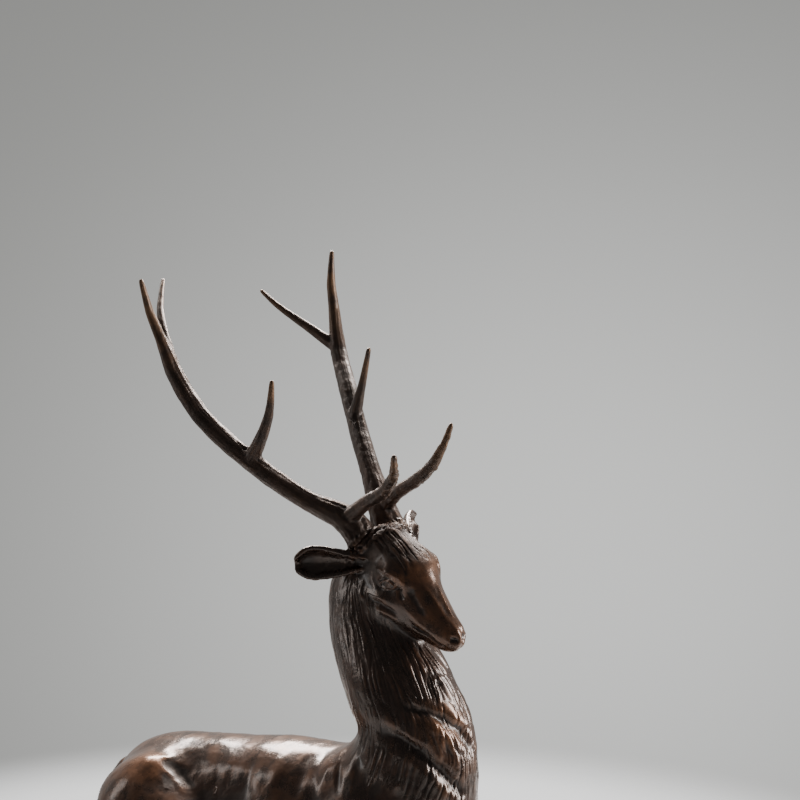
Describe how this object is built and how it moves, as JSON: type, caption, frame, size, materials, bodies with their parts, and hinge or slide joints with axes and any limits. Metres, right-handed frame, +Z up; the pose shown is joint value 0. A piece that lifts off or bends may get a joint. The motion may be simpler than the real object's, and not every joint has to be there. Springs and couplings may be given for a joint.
{
  "type": "recumbent stag sculpture",
  "caption": "Cast bronze stag lying with folded legs on a low oval base, neck raised, head turned, long branched antlers swept back.",
  "frame": {"origin": "middle of the base's flat underside", "axes": "+X along the body from rump to chest, +Y to the stag's left, +Z up"},
  "size_m": [1.0602, 0.5, 1.3805],
  "materials": {
    "bronze": "dark brown patinated bronze, waxed satin, rubbed to a warm brown on the raised forms",
    "antler_bronze": "near-black brown patinated bronze, rubbed to gold brown at the tips",
    "base_bronze": "dark brown patinated bronze, dull satin"
  },
  "bodies": {
    "root": {"stag": "bronze", "right_antler": "antler_bronze", "left_antler": "antler_bronze", "base": "base_bronze"}
  },
  "joints": []
}
